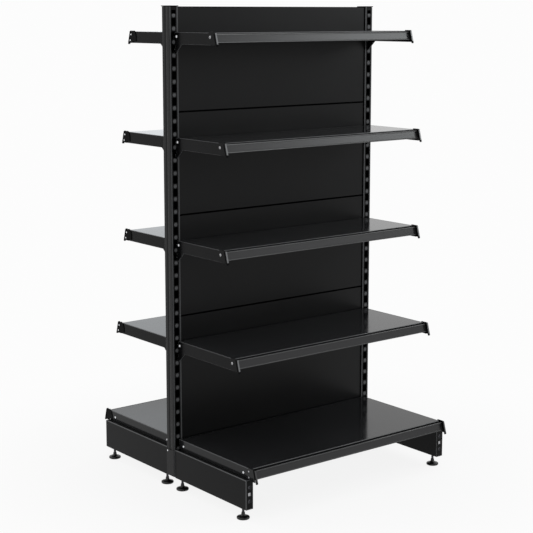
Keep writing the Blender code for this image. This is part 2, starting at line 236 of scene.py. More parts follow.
# Softboxes: place, target, size, power and tint.
SOFTBOXES = {
    "front_softbox": ((3.25, -2.50, 3.00), (0.15, -0.22, 1.20), (1.8, 1.5), 46.0, COOL),
    "top_softbox": ((0.0, -0.4, 4.2), (0.0, 0.0, 0.8), (3.0, 3.0), 40.0, WHITE),
    "rear_softbox": ((-2.6, 3.2, 3.5), (0.0, 0.1, 1.0), (2.4, 1.6), 20.0, WHITE),
    "back_softbox": ((2.0, 3.5, 1.85), (-0.3, 0.25, 1.1), (1.1, 1.0), 1.6, COLD),
}


class Net:
    """A node tree under construction, for a material or for geometry."""

    def __init__(self, tree):
        self.tree = tree

    def node(self, kind, inputs=None, **settings):
        """Add a node, with its settings, constants and links."""
        made = self.tree.nodes.new(kind)
        for key, value in settings.items():
            setattr(made, key, value)
        for key, value in (inputs or {}).items():
            self.feed(made.inputs[key], value)
        return made

    def feed(self, socket, value):
        """Link a socket to another one, or set its own value."""
        if isinstance(value, bpy.types.NodeSocket):
            self.tree.links.new(value, socket)
        else:
            socket.default_value = value

    def math(self, operation, first, second=0.0):
        """One step of arithmetic."""
        made = self.node("ShaderNodeMath", {0: first, 1: second}, operation=operation)
        return made.outputs[0]

    def weighed(self, first, second, share):
        """The sum of two values, with the given share of the second."""
        rest = self.math("MULTIPLY", first, 1.0 - share)
        return self.math("ADD", rest, self.math("MULTIPLY", second, share))

    def spread(self, value, low, high):
        """Carry a 0 to 1 value to a range."""
        made = self.node("ShaderNodeMapRange", {"Value": value, "To Min": low, "To Max": high})
        return made.outputs["Result"]


def new_material(name):
    """An empty node material, its net and its Principled shader."""
    material = bpy.data.materials.new(name)
    material.use_nodes = True
    shader = material.node_tree.nodes["Principled BSDF"]
    return material, Net(material.node_tree), shader


def object_noise(net, scale, detail, stretch=(1.0, 1.0, 1.0), seed=0.0):
    """Noise that stays fixed to the piece, in features per metre."""
    place = net.node("ShaderNodeTexCoord").outputs["Object"]
    mapping = net.node("ShaderNodeMapping", {"Vector": place, "Scale": stretch})
    mapping.inputs["Location"].default_value = (seed, seed * 0.7, seed * 0.3)
    noise = net.node(
        "ShaderNodeTexNoise",
        {"Vector": mapping.outputs["Vector"], "Scale": scale, "Detail": detail, "Roughness": 0.55},
    )
    return noise.outputs["Fac"]


def blended(net, factor, first, second):
    """A colour between two colours, each fixed or from a socket."""
    made = net.node("ShaderNodeMix", {"Factor": factor}, data_type="RGBA")
    for socket, colour in ((made.inputs[6], first), (made.inputs[7], second)):
        net.feed(socket, (*colour, 1.0) if isinstance(colour, tuple) else colour)
    return made.outputs[2]


def powder_coat(name, dark, light, roughness, ior, peel=0.05, seed=0.0):
    """Baked powder coat: deep colour, faint clouding, orange peel and a fine grain."""
    material, net, shader = new_material(name)
    cloud = object_noise(net, scale=7.0, detail=4.0, seed=seed)
    grain = object_noise(net, scale=1500.0, detail=2.0, seed=seed + 3.0)
    orange_peel = object_noise(net, scale=330.0, detail=1.0, seed=seed + 5.0)
    net.feed(shader.inputs["Base Color"], blended(net, cloud, dark, light))
    gloss = net.weighed(grain, cloud, CLOUD_SHARE)
    net.feed(shader.inputs["Roughness"], net.spread(gloss, *(roughness * share for share in COAT_GLOSS)))
    height = net.weighed(grain, orange_peel, PEEL_SHARE)
    bump = net.node("ShaderNodeBump", {"Strength": peel, "Distance": 0.0006, "Height": height})
    net.feed(shader.inputs["Normal"], bump.outputs["Normal"])
    shader.inputs["IOR"].default_value = ior
    return material


def slotted_coat(name, dark, light, edge_highlight, boss_highlight, roughness, ior, seed=0.0):
    """Powder coat of a slotted post face, with painted highlights along both edges and on the rung bosses.
    """
    material = powder_coat(name, dark, light, roughness, ior, seed=seed)
    net = Net(material.node_tree)
    shader = material.node_tree.nodes["Principled BSDF"]
    place = net.node("ShaderNodeSeparateXYZ", {"Vector": net.node("ShaderNodeTexCoord").outputs["Object"]})
    across = net.math("ABSOLUTE", net.math("SUBTRACT", net.math("ABSOLUTE", place.outputs["X"]), POST_X))
    rise = net.math("DIVIDE", net.math("SUBTRACT", place.outputs["Z"], FIRST_SLOT_Z), SLOT_PITCH)
    from_slot = net.math("PINGPONG", rise, 0.5)
    from_rung = net.math("MULTIPLY", net.math("SUBTRACT", 0.5, from_slot), SLOT_PITCH)
    spread = net.math("ADD", net.math("POWER", across, 2.0), net.math("POWER", from_rung, 2.0))
    # The boss mask gives both the pressed bump and a painted highlight on each rung; the edge mask paints a
    # highlight along both edges.
    boss = smooth_step(net, net.math("SQRT", spread), BOSS_R, BOSS_R / 2)
    edge = smooth_step(net, across, EDGE_HIGHLIGHT_FROM, EDGE_HIGHLIGHT_TO)
    coat = shader.inputs["Base Color"].links[0].from_socket
    highlighted_edges = blended(net, edge, coat, edge_highlight)
    net.feed(shader.inputs["Base Color"], blended(net, boss, highlighted_edges, boss_highlight))
    grain = shader.inputs["Normal"].links[0].from_socket
    pressed = net.node("ShaderNodeBump", {"Strength": 0.6, "Distance": 0.0010, "Height": boss})
    net.feed(pressed.inputs["Normal"], grain)
    net.feed(shader.inputs["Normal"], pressed.outputs["Normal"])
    return material


def smooth_step(net, value, start, end):
    """0 at the start value, 1 at the end value, smooth between them."""
    made = net.node("ShaderNodeMapRange", {"Value": value, "From Min": start, "From Max": end})
    made.interpolation_type = "SMOOTHSTEP"
    return made.outputs["Result"]


def moulded_plastic(name, dark, light, roughness, ior, seed=0.0):
    """Moulded plastic with a fine spark texture and softly varied gloss."""
    material, net, shader = new_material(name)
    cloud = object_noise(net, scale=25.0, detail=3.0, seed=seed)
    spark = object_noise(net, scale=1900.0, detail=2.0, seed=seed + 2.0)
    net.feed(shader.inputs["Base Color"], blended(net, cloud, dark, light))
    net.feed(shader.inputs["Roughness"], net.spread(cloud, *(roughness * share for share in PLASTIC_GLOSS)))
    bump = net.node("ShaderNodeBump", {"Strength": 0.10, "Distance": 0.0003, "Height": spark})
    net.feed(shader.inputs["Normal"], bump.outputs["Normal"])
    shader.inputs["IOR"].default_value = ior
    return material


def extruded_pvc(name, dark, light, roughness, ior, seed=0.0):
    """Extruded ticket strip plastic, with faint draw lines along its length."""
    material, net, shader = new_material(name)
    lines = object_noise(net, scale=900.0, detail=2.0, stretch=(0.01, 1.0, 1.0), seed=seed)
    cloud = object_noise(net, scale=12.0, detail=3.0, seed=seed + 4.0)
    net.feed(shader.inputs["Base Color"], blended(net, cloud, dark, light))
    net.feed(shader.inputs["Roughness"], net.spread(lines, *(roughness * share for share in PLASTIC_GLOSS)))
    bump = net.node("ShaderNodeBump", {"Strength": 0.08, "Distance": 0.0003, "Height": lines})
    net.feed(shader.inputs["Normal"], bump.outputs["Normal"])
    shader.inputs["IOR"].default_value = ior
    return material


def zinc_plate(name, dark, light, roughness, seed=0.0):
    """Bright zinc plating with a spangled tone and fine scratches."""
    material, net, shader = new_material(name)
    spangle = object_noise(net, scale=420.0, detail=2.0, seed=seed)
    scratch = object_noise(net, scale=2600.0, detail=1.0, stretch=(1.0, 0.12, 1.0), seed=seed + 1.0)
    net.feed(shader.inputs["Base Color"], blended(net, spangle, dark, light))
    net.feed(shader.inputs["Roughness"], net.spread(scratch, *(roughness * share for share in ZINC_GLOSS)))
    bump = net.node("ShaderNodeBump", {"Strength": 0.06, "Distance": 0.0002, "Height": scratch})
    net.feed(shader.inputs["Normal"], bump.outputs["Normal"])
    shader.inputs["Metallic"].default_value = 1.0
    return material


def make_materials():
    """All finishes of the shelving, by the name of what they cover."""
    black = (0.0028, 0.0029, 0.0032)
    softer = (0.0046, 0.0047, 0.0051)
    # Paler greys for folds and for the edges of slotted post faces: painted highlights; on folds also the
    # powder pulling thin over edges.
    worn_fold_highlight = (0.060, 0.061, 0.064)
    edge_highlight_pale = (0.085, 0.087, 0.090)
    # Grey of the painted highlights on the rung bosses and on the fronts of the strip end blocks.
    pale = (0.100, 0.102, 0.106)
    # Tray and deck coat is lighter than the other black coats: painted light standing for the light on their
    # tops.
    lit_top_dark = (0.0118, 0.0122, 0.0130)
    lit_top_pale = (0.0150, 0.0154, 0.0163)
    matt = (0.0008, 0.0008, 0.0009)
    return {
        "post": powder_coat("post_powder_coat", black, softer, 0.26, 1.26, seed=1.0),
        "slotted": slotted_coat("slotted_face_coat", matt, black, edge_highlight_pale, pale, 0.30, 1.20, seed=1.2),
        # Matt near-black primer inside the post tubes, also put on panel edges and folds as painted shade in
        # the seams.
        "primer_and_seam_shade": powder_coat("tube_primer_and_seam_shade", matt, black, 0.80, 1.02, seed=1.5),
        "panel": powder_coat("panel_powder_coat", black, softer, 0.34, 1.25, seed=2.0),
        "leg": powder_coat("leg_powder_coat", black, softer, 0.30, 1.18, seed=3.0),
        "deck": powder_coat("deck_powder_coat", lit_top_dark, lit_top_pale, 0.13, 1.25, peel=0.02, seed=4.0),
        "tray": powder_coat("tray_powder_coat", lit_top_dark, lit_top_pale, 0.13, 1.25, peel=0.02, seed=5.0),
        "bracket": powder_coat("bracket_powder_coat", black, softer, 0.26, 1.17, seed=6.0),
        # Fold coat: a little paler where the powder pulls thin, and mostly a painted highlight along every
        # rounded fold.
        "fold": powder_coat("fold_thin_coat_and_highlight", worn_fold_highlight, edge_highlight_pale, 0.32, 1.36, seed=7.0),
        "strip": extruded_pvc("ticket_strip_pvc", STRIP_GREY, STRIP_PALE, 0.34, 1.46, seed=8.0),
        "insert": extruded_pvc("ticket_insert_pvc", INSERT_GREY, INSERT_PALE, 0.30, 1.40, seed=9.0),
        # Matt near-black on the end block sides, the webs and the deck lips is painted shade; the pale end
        # block fronts are a painted highlight.
        "end": moulded_plastic("end_matt_shade_plastic", matt, black, 0.50, 1.12, seed=10.0),
        "end_front": moulded_plastic("end_front_highlight_plastic", pale, END_HIGHLIGHT, 0.30, 1.50, seed=10.5),
        "cap": moulded_plastic("post_cap_plastic", matt, black, 0.42, 1.18, seed=11.0),
        "foot": moulded_plastic("foot_plastic", black, softer, 0.30, 1.42, seed=12.0),
        "zinc": zinc_plate("bright_zinc", (0.62, 0.63, 0.65), (0.80, 0.81, 0.82), 0.26, seed=13.0),
        "tab": zinc_plate("dull_zinc", (0.34, 0.34, 0.35), (0.46, 0.46, 0.47), 0.40, seed=13.5),
        "stem": zinc_plate("dark_zinc", (0.05, 0.05, 0.055), (0.09, 0.09, 0.10), 0.34, seed=14.0),
    }


def finished(name, mesh, body, materials, nodes=()):
    """A finished piece that rides on a body and stands for CAD nodes."""
    if not mesh.materials:
        for material in materials:
            mesh.materials.append(material)
    piece = bpy.data.objects.new(name, mesh)
    bpy.context.scene.collection.objects.link(piece)
    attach(piece, body)
    if nodes:
        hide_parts(*nodes)
    return piece


def distance(point, edge):
    """Distance from a point to an edge."""
    start, end = (vert.co for vert in edge.verts)
    share = intersect_point_line(point, start, end)[1]
    return (start.lerp(end, min(max(share, 0.0), 1.0)) - point).length


def clearance(edge, face):
    """Free width of a face beside one of its edges."""
    start, end = (vert.co for vert in edge.verts)
    spots = [start.lerp(end, share) for share in EDGE_SPOTS]
    others = [other for other in face.edges if set(other.verts).isdisjoint(edge.verts)]
    gaps = [distance(spot, other) for other in others for spot in spots]
    return min(gaps, default=2 * face.calc_area() / edge.calc_length())


def merge_flats(bm, edges):
    """Merge the flat faces that meet at the given edges."""
    faces = list({face for edge in edges for face in edge.link_faces})
    bmesh.ops.join_triangles(bm, faces=faces, angle_face_threshold=FLAT_ANGLE, angle_shape_threshold=pi)
    kept = [edge for edge in edges if edge.is_valid]
    verts = list({vert for edge in kept for vert in edge.verts})
    bmesh.ops.dissolve_limit(bm, angle_limit=FLAT_ANGLE, verts=verts, edges=kept)


def cut_ladder(bm):
    """Cut the slotted walls of a post into stiles and rungs."""
    walls = {}
    for face in bm.faces:
        if abs(face.normal.y) > SQUARE_ON:
            walls.setdefault(round(face.calc_center_median().y, 4), []).append(face)
    for wall in walls.values():
        edges = list({edge for face in wall for edge in face.edges})
        verts = list({vert for face in wall for vert in face.verts})
        cuts = []
        for axis, normal in ((0, Vector((1, 0, 0))), (2, Vector((0, 0, 1)))):
            places = sorted({round(vert.co[axis], 5) for vert in verts})
            cuts += [(normal * place, normal) for place in places[1:-1]]
        pieces = wall + edges + verts
        for place, normal in cuts:
            cut = bmesh.ops.bisect_plane(bm, geom=pieces, dist=MERGE, plane_co=place, plane_no=normal)
            pieces = cut["geom"]
        slanted = [item for item in pieces if isinstance(item, bmesh.types.BMEdge) and is_slanted(item)]
        bmesh.ops.dissolve_edges(bm, edges=slanted, use_verts=True)


def is_slanted(edge):
    """Whether an edge crosses a flat wall at a slant."""
    along = (edge.verts[1].co - edge.verts[0].co).normalized()
    in_wall = all(abs(face.normal.y) > SQUARE_ON for face in edge.link_faces)
    return in_wall and max(abs(value) for value in along) < STRAIGHT


def fold_widths(bm, sheet, radius):
    """How far each fold and rim of a pressed piece should be rounded."""
    merge_flats(bm, list(bm.edges))
    widths = {}
    for edge in sharp_edges(bm):
        if edge.is_convex:
            widths[edge] = radius
        elif edge.calc_length() > INNER_FOLD_MIN * sheet:
            widths[edge] = radius - sheet
    return widths


def tube_widths(bm, sheet, radius):
    """How far the corners and slot rims of a post should be rounded."""
    cut_ladder(bm)
    bm.normal_update()
    merge_flats(bm, [edge for edge in bm.edges if all(abs(f.normal.y) < SQUARE_ON for f in edge.link_faces)])
    spans = [[vert.co[axis] for vert in bm.verts] for axis in (0, 1)]
    limits = [(min(span), max(span)) for span in spans]
    widths = {}
    for edge in sharp_edges(bm):
        middle = (edge.verts[0].co + edge.verts[1].co) / 2
        depths = [min(middle[axis] - limits[axis][0], limits[axis][1] - middle[axis]) for axis in (0, 1)]
        if max(depths) < TUBE_SKIN:
            widths[edge] = radius
        elif min(depths) < TUBE_SKIN:
            widths[edge] = sheet * EASE_SHARE
    return widths


def sharp_edges(bm):
    """The edges where two faces meet at an angle."""
    return [edge for edge in bm.edges if len(edge.link_faces) == 2 and edge.calc_face_angle() > FOLD_ANGLE]


def eased_mesh(node, kind):
    """A CAD piece with flat faces merged, and a bevel weight on each fold and rim."""
    sheet, radius = SHEETS[kind]
    bm = bmesh.new()
    bm.from_mesh(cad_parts[node].data)
    bmesh.ops.remove_doubles(bm, verts=bm.verts, dist=MERGE)
    weight = bm.edges.layers.float.new("bevel_weight_edge")
    rounding = tube_widths if kind == "post" else fold_widths
    for edge, width in rounding(bm, sheet, radius).items():
        room = min(clearance(edge, face) for face in edge.link_faces)
        edge[weight] = min(width, room * EASE_SHARE) / radius
    mesh = bpy.data.meshes.new(node + "_eased")
    bm.to_mesh(mesh)
    bm.free()
    mesh.materials.clear()
    mesh.shade_smooth()
    return mesh


def round_folds(piece, kind, fold_material=-1):
    """Round the weighted edges, with the given material on the rounding where one is given: on most pieces
    the pale thin coat of a fold, which also paints a highlight along it; on panels the matt near-black that
    paints the shade in their seams.
    """
    bevel = piece.modifiers.new("rounded_folds", "BEVEL")
    bevel.limit_method = "WEIGHT"
    bevel.width = SHEETS[kind][1]
    bevel.segments = FOLD_STEPS
    bevel.use_clamp_overlap = False
    bevel.material = fold_material
    flats = piece.modifiers.new("flat_faces_lead", "WEIGHTED_NORMAL")
    flats.mode = "FACE_AREA"
    flats.weight = FLAT_LEAD
    flats.keep_sharp = True


def coated(node, kind, body, materials):
    """A pressed sheet piece: the CAD shape with rounded folds, in its own coat."""
    mesh = eased_mesh(node, kind)
    seam_shaded = kind in SEAM_SHADED
    # Panel edge faces and folds take the matt near-black that paints the shade in their seams; folds of
    # other pieces take the pale fold coat, a painted highlight.
    for polygon in mesh.polygons:
        polygon.material_index = 1 if seam_shaded and abs(polygon.normal.y) < HALF_TURNED else 0
    edge = materials["primer_and_seam_shade" if seam_shaded else "fold"]
    piece = finished(node + "_coated", mesh, body, [materials[kind], edge], [node])
    round_folds(piece, kind, 0 if kind in NO_FOLD_HIGHLIGHT else 1)
    return piece


def coated_post(node, materials):
    """A post: coated outside, dark primer inside the tube."""
    mesh = eased_mesh(node, "post")
    low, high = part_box(node)
    middle = (low + high) / 2
    for polygon in mesh.polygons:
        inward = polygon.normal.dot(polygon.center - middle) < 0
        upright = abs(polygon.normal.z) < HALF_TURNED
        slotted = abs(polygon.normal.y) > SQUARE_ON
        polygon.material_index = 1 if inward and upright else 2 if slotted else 0
    coats = [materials["post"], materials["primer_and_seam_shade"], materials["slotted"]]
    piece = finished(node + "_coated", mesh, "frame", coats, [node])
    round_folds(piece, "post")
    return piece


def cut_level(mesh, height):
    """Cut a mesh through at one height."""
    bm = bmesh.new()
    bm.from_mesh(mesh)
    whole = list(bm.verts) + list(bm.edges) + list(bm.faces)
    bmesh.ops.bisect_plane(bm, geom=whole, dist=MERGE, plane_co=(0, 0, height), plane_no=(0, 0, 1))
    bm.to_mesh(mesh)
    bm.free()


def end_coat(polygon, side, tip, nub):
    """Coat of a face of a ticket strip: 0 strip, 1 matt black end as painted shade, 2 bright front as a
    painted highlight, 3 painted plate.
    """
    x = polygon.center.x
    if abs(x) < STRIP_END_X - STRIP_END_PLAY:
        return 0
    depth = abs(tip - polygon.center.y)
    if polygon.normal.y * SIDES[side] > BLOCK_FRONT and depth < BLOCK_DEPTH and polygon.center.z > nub:
        return 2
    # Plates on right-hand ends fall through to the matt black end coat: painted shade.
    if polygon.normal.x * x > PLATE_OUTSIDE and depth > BLOCK_DEPTH and x * hand_x(side, "left") > 0:
        return 3
    return 1


def ticket_strip(node, side, body, coats):
    """A ticket strip, with a plate and a block at each end; the block's sides are painted matt black as
    shade and its front pale as a highlight.
    """
    mesh = eased_mesh(node, "strip")
    tip = front_of(node, side)
    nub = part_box(node)[0].z + BLOCK_NUB
    cut_level(mesh, nub)
    for polygon in mesh.polygons:
        polygon.material_index = end_coat(polygon, side, tip, nub)
    piece = finished(node + "_moulded", mesh, body, coats, [node])
    round_folds(piece, "strip")
    return piece


def leaned(reach, height):
    """A point in front of the shelf edge that follows the strip's lean."""
    return reach - height * STRIP_LEAN, height


def ticket_insert(name, body, side, shelf_front, shelf_top, materials):
    """The blank insert that lies in the channel of a ticket strip."""
    sign = SIDES[side]
    top = STRIP_TOP - STRIP_LIP_T - INSERT_PLAY
    bottom = STRIP_BOTTOM + STRIP_LIP_T + INSERT_PLAY
    back = STRIP_STANDOFF + STRIP_T + INSERT_PLAY / 3
    bm = bmesh.new()
    bmesh.ops.create_cube(bm, size=1.0)
    corners = [edge for edge in bm.edges if edge.verts[0].co.y != edge.verts[1].co.y]
    size = Matrix.Diagonal((2 * INSERT_END_X, INSERT_T, top - bottom, 1.0))
    bmesh.ops.transform(bm, matrix=size, verts=bm.verts)
    bmesh.ops.bevel(
        bm,
        geom=corners,
        offset=INSERT_CORNER,
        segments=INSERT_CORNER_STEPS,
        profile=0.5,
        affect="EDGES",
        clamp_overlap=True,
    )
    middle = (top + bottom) / 2
    for vert in bm.verts:
        reach, height = leaned(back + INSERT_T / 2 - vert.co.y, vert.co.z + middle)
        vert.co.y = shelf_front + sign * reach
        vert.co.z = shelf_top + height
    if side == "rear":
        # The rear insert is the front one mirrored, so its faces are turned back outwards.
        bmesh.ops.reverse_faces(bm, faces=bm.faces)
    mesh = bpy.data.meshes.new(name)
    bm.to_mesh(mesh)
    bm.free()
    return finished(name, mesh, body, [materials["insert"]])


def strip_web(name, body, side, shelf_front, shelf_top, materials):
    """The black web that closes the groove between a shelf edge and its ticket strip, its matt black
    standing for the shade in the groove.
    """
    sign = SIDES[side]
    reach, height = leaned(STRIP_STANDOFF, -WEB_DROP)
    depths = (shelf_front + sign * WEB_PLAY, shelf_front + sign * (reach - WEB_PLAY))
    return flat_web(name, INSERT_END_X, depths, shelf_top + height, body, materials)


def deck_shade_lip(name, body, side, deck, materials):
    """The black lip across the gap between a deck's rear edge and the panel behind it: a dark sheet painting
    the shade under the deck.
    """
    sign = SIDES[side]
    low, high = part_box(deck)
    rear_edge = high.y if side == "front" else low.y
    panel = f"{side}_panel_1"
    depths = (rear_edge - sign * WEB_PLAY, front_of(panel, side) + sign * LIP_PLAY)
    half_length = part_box(panel)[1].x - LIP_SHORT
    return flat_web(name, half_length, depths, high.z - LIP_DROP, body, materials)


def flat_web(name, half_length, depths, top, body, materials):
    """A thin matt black bar along the bay, with eased edges, as painted shade."""
    bm = bmesh.new()
    block(bm, (-half_length, min(depths), top - WEB_T), (half_length, max(depths), top))
    bmesh.ops.bevel(bm, geom=bm.edges, offset=SMALL_EASE, segments=1, affect="EDGES")
    mesh = bpy.data.meshes.new(name)
    bm.to_mesh(mesh)
    bm.free()
    return finished(name, mesh, body, [materials["end"]])


def geometry_tree(name, inputs):
    """A geometry node tree with named inputs, its net and its two ends."""
    tree = bpy.data.node_groups.new(name, "GeometryNodeTree")
    tree.interface.new_socket("Geometry", in_out="INPUT", socket_type="NodeSocketGeometry")
    for label, kind in inputs:
        tree.interface.new_socket(label, in_out="INPUT", socket_type=kind)
    tree.interface.new_socket("Geometry", in_out="OUTPUT", socket_type="NodeSocketGeometry")
    net = Net(tree)
    return net, net.node("NodeGroupInput"), net.node("NodeGroupOutput")


def profile_curve(net, value, heights):
    """A value read along straight runs through evenly spaced heights."""
    made = net.node("ShaderNodeFloatCurve", {"Value": value})
    curve = made.mapping.curves[0]
    last = len(heights) - 1
    for index, height in enumerate(heights):
        if index == 0:
            point = curve.points[0]
        elif index == last:
            point = curve.points[len(curve.points) - 1]
        else:
            point = curve.points.new(index / last, height)
        point.location = (index / last, height)
        point.handle_type = "VECTOR"
    made.mapping.update()
    return made.outputs["Value"]


def wrapped_sheet(net, turns, rows):
    """A unit grid to be wrapped round an axis, with its share round and its share along."""
    grid = net.node("GeometryNodeMeshGrid", {"Size X": 1.0, "Size Y": 1.0})
    net.feed(grid.inputs["Vertices X"], turns)
    net.feed(grid.inputs["Vertices Y"], rows)
    place = net.node("ShaderNodeSeparateXYZ", {"Vector": net.node("GeometryNodeInputPosition").outputs[0]})
    around = net.math("ADD", place.outputs["X"], 0.5)
    along = net.math("ADD", place.outputs["Y"], 0.5)
    return grid.outputs["Mesh"], around, along


def wound_up(net, sheet, around, radius, height):
    """Wrap the grid to a closed turned shape."""
    angle = net.math("MULTIPLY", around, 2 * pi)
    x = net.math("MULTIPLY", radius, net.math("COSINE", angle))
    y = net.math("MULTIPLY", radius, net.math("SINE", angle))
    target = net.node("ShaderNodeCombineXYZ", {"X": x, "Y": y, "Z": height})
    moved = net.node("GeometryNodeSetPosition", {"Geometry": sheet, "Position": target.outputs[0]})
    merged = net.node("GeometryNodeMergeByDistance", {"Geometry": moved.outputs[0], "Distance": SEAM_MERGE})
    return merged.outputs[0]


def fastener_tree():
    """Button heads with a hexagon socket, or plain rivets, standing on marked points."""
    net, source, sink = geometry_tree(
        "fastener_heads",
        (
            ("Head radius", "NodeSocketFloat"),
            ("Head height", "NodeSocketFloat"),
            ("Socket depth", "NodeSocketFloat"),
            ("Material", "NodeSocketMaterial"),
        ),
    )
    sheet, around, along = wrapped_sheet(net, HEAD_STEPS + 1, len(HEAD_RADII))
    radius = profile_curve(net, along, HEAD_RADII)
    height = profile_curve(net, along, HEAD_HEIGHTS)
    in_socket = net.math("LESS_THAN", along, SOCKET_FLOOR_END)
    flat = net.math("SUBTRACT", net.math("FRACT", net.math("MULTIPLY", around, 6.0)), 0.5)
    hexagon = net.math("DIVIDE", HEXAGON_FLAT, net.math("COSINE", net.math("MULTIPLY", flat, pi / 3)))
    near_socket = net.math("LESS_THAN", along, SOCKET_RIM_END)
    shape = net.math("ADD", 1.0, net.math("MULTIPLY", near_socket, net.math("SUBTRACT", hexagon, 1.0)))
    wide = net.math("MULTIPLY", net.math("MULTIPLY", radius, shape), source.outputs["Head radius"])
    tall = net.math("MULTIPLY", height, source.outputs["Head height"])
    sunk = net.math("SUBTRACT", tall, net.math("MULTIPLY", in_socket, source.outputs["Socket depth"]))
    head = wound_up(net, sheet, around, wide, sunk)
    outward = net.node("GeometryNodeFlipFaces", {"Mesh": head})
    facing = net.node("GeometryNodeInputNamedAttribute", data_type="FLOAT_VECTOR")
    facing.inputs["Name"].default_value = "facing"
    turn = net.node("FunctionNodeAlignRotationToVector", axis="Z")
    net.feed(turn.inputs["Vector"], facing.outputs["Attribute"])
    placed = net.node("GeometryNodeInstanceOnPoints", {"Instance": outward.outputs[0]})
    net.feed(placed.inputs["Points"], source.outputs["Geometry"])
    net.feed(placed.inputs["Rotation"], turn.outputs[0])
    real = net.node("GeometryNodeRealizeInstances", {"Geometry": placed.outputs[0]})
    smooth = net.node("GeometryNodeSetShadeSmooth", {"Geometry": real.outputs[0]})
    painted = net.node("GeometryNodeSetMaterial", {"Geometry": smooth.outputs[0]})
    net.feed(painted.inputs["Material"], source.outputs["Material"])
    net.feed(sink.inputs["Geometry"], painted.outputs[0])
    return net.tree


def thread_tree():
    """A threaded stem that stands on the given point."""
    net, source, sink = geometry_tree(
        "threaded_stem",
        (
            ("Radius", "NodeSocketFloat"),
            ("Thread depth", "NodeSocketFloat"),
            ("Pitch", "NodeSocketFloat"),
            ("Length", "NodeSocketFloat"),
            ("Rows", "NodeSocketInt"),
            ("Material", "NodeSocketMaterial"),
        ),
    )
    sheet, around, along = wrapped_sheet(net, THREAD_STEPS + 1, source.outputs["Rows"])
    step = net.math("DIVIDE", 1.0, net.math("SUBTRACT", source.outputs["Rows"], 1.0))
    span = net.node("ShaderNodeMapRange", {"Value": along, "From Min": step})
    net.feed(span.inputs["From Max"], net.math("SUBTRACT", 1.0, step))
    net.feed(span.inputs["To Max"], source.outputs["Length"])
    height = span.outputs["Result"]
    phase = net.math("SUBTRACT", net.math("DIVIDE", height, source.outputs["Pitch"]), around)
    wave = net.math("ABSOLUTE", net.math("SUBTRACT", net.math("FRACT", phase), 0.5))
    cut = net.math("MULTIPLY", net.math("MULTIPLY", wave, 2.0), source.outputs["Thread depth"])
    radius = net.math("SUBTRACT", source.outputs["Radius"], cut)
    half = net.math("MULTIPLY", step, 0.5)
    started = net.math("GREATER_THAN", along, half)
    ended = net.math("LESS_THAN", along, net.math("SUBTRACT", 1.0, half))
    closed = net.math("MULTIPLY", radius, net.math("MULTIPLY", started, ended))
    stem = wound_up(net, sheet, around, closed, height)
    placed = net.node("GeometryNodeInstanceOnPoints", {"Instance": stem})
    net.feed(placed.inputs["Points"], source.outputs["Geometry"])
    real = net.node("GeometryNodeRealizeInstances", {"Geometry": placed.outputs[0]})
    painted = net.node("GeometryNodeSetMaterial", {"Geometry": real.outputs[0]})
    net.feed(painted.inputs["Material"], source.outputs["Material"])
    net.feed(sink.inputs["Geometry"], painted.outputs[0])
    return net.tree


def grown(name, tree, points, values):
    """Run a geometry tree on marked points and keep the result as a plain mesh."""
    seeds = bpy.data.meshes.new(name + "_points")
    seeds.from_pydata([place for place, facing in points], [], [])
    marks = seeds.attributes.new("facing", "FLOAT_VECTOR", "POINT")
    for mark, (place, facing) in zip(marks.data, points):
        mark.vector = facing
    holder = bpy.data.objects.new(name + "_holder", seeds)
    bpy.context.scene.collection.objects.link(holder)
    modifier = holder.modifiers.new("grown", "NODES")
    modifier.node_group = tree
    for item in tree.interface.items_tree:
        if item.in_out == "INPUT" and item.name in values:
            modifier[item.identifier] = values[item.name]
    bpy.context.view_layer.update()
    evaluated = holder.evaluated_get(bpy.context.evaluated_depsgraph_get())
    mesh = bpy.data.meshes.new_from_object(evaluated)
    mesh.name = name
    bpy.data.objects.remove(holder, do_unlink=True)
    bpy.data.meshes.remove(seeds)
    mesh.set_sharp_from_angle(angle=HEAD_SHARP)
    return mesh


def heads(name, tree, size, points, body, material):
    """A body's bolt heads or rivets."""
    radius, height, depth = size
    values = {"Head radius": radius, "Head height": height, "Socket depth": depth, "Material": material}
    return finished(name, grown(name, tree, points, values), body, [material])


def hand_x(side, hand):
    """Direction along X of a hand, as seen facing that side of the bay."""
    return HANDS[hand] * -SIDES[side]


def front_of(node, side):
    """Y of a node's face towards the aisle."""
    low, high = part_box(node)
    return low.y if side == "front" else high.y


def outer_x(node, direction):
    """X of a node's outer face towards one end of the bay."""
    low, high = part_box(node)
    return low.x if direction < 0 else high.x


def strip_points(side, hand, strip, front, top, drops, reach):
    """Points on the outer face of one end of a ticket strip."""
    direction = hand_x(side, hand)
    points = []
    for drop in drops:
        forward, height = leaned(reach, -drop)
        place = (outer_x(strip, direction), front + SIDES[side] * forward, top + height)
        points.append((place, (direction, 0.0, 0.0)))
    return points


